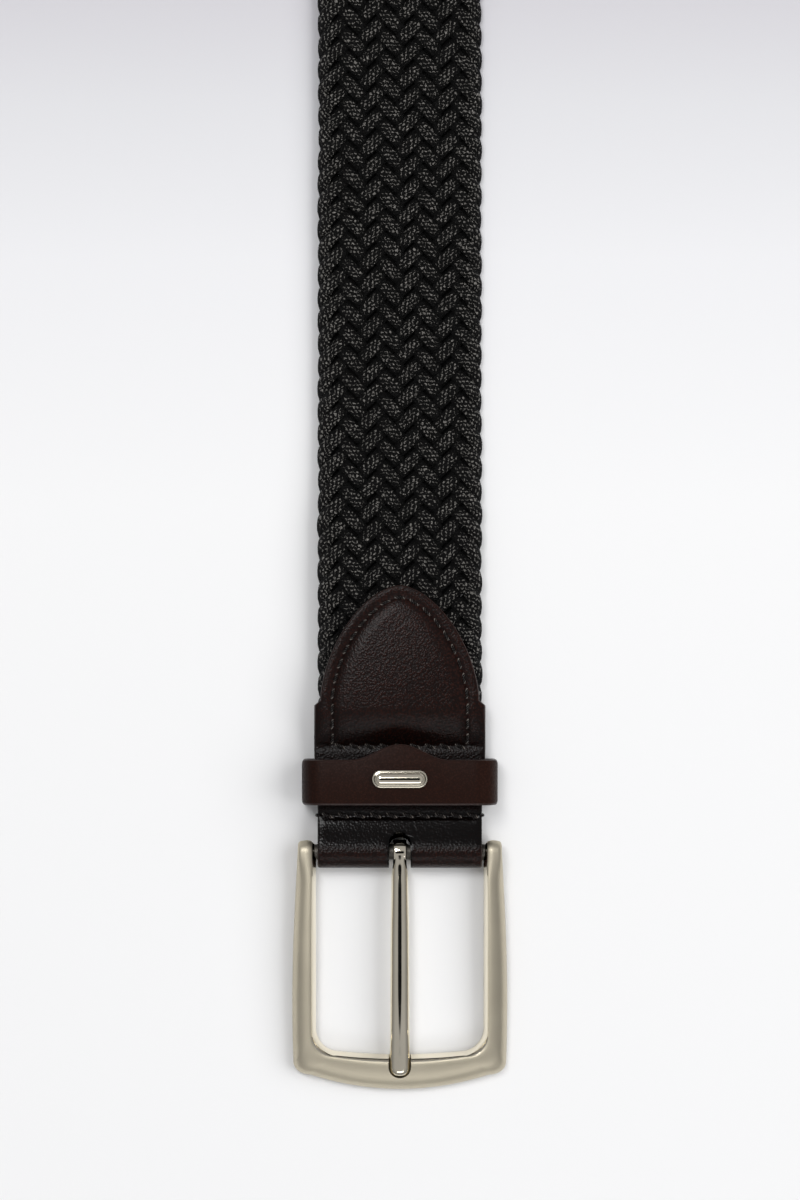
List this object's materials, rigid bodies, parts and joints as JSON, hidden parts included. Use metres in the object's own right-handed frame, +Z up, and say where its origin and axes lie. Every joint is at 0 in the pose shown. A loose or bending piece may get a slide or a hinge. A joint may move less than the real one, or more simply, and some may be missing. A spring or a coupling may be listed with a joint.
{
  "type": "braided belt",
  "caption": "Flat braided belt laid straight, with stitched leather ends, a leather keeper loop and a rounded metal frame buckle with a prong.",
  "frame": {"origin": "centre of the bounding box at its bottom, on the surface that the belt lies on", "axes": "+Y along the belt from the buckle towards its tip, +X across it, +Z up off the surface"},
  "size_m": [0.0462, 1.0996, 0.0122],
  "materials": {
    "braid": "matt twisted cord",
    "leather": "fine grained satin",
    "satin_metal": "satin nickel",
    "polished_metal": "polished nickel"
  },
  "bodies": {
    "strap": {"braided_strap": "braid", "leather_tab": "leather", "keeper_loop": "leather", "keeper_plate": "polished_metal", "tip_front": "leather", "tip_back": "leather"},
    "frame": {"buckle_frame": "satin_metal"},
    "prong": {"buckle_prong": "polished_metal"}
  },
  "joints": [
    {"name": "frame_swing", "type": "hinge", "parent": "strap", "child": "frame", "pos_m": [0, -0.49815, 0.00345], "axis": [-1, 0, 0], "range_deg": [0, 35]},
    {"name": "prong_lift", "type": "hinge", "parent": "frame", "child": "prong", "pos_m": [0, -0.49815, 0.00345], "axis": [-1, 0, 0], "range_deg": [0, 80]}
  ]
}
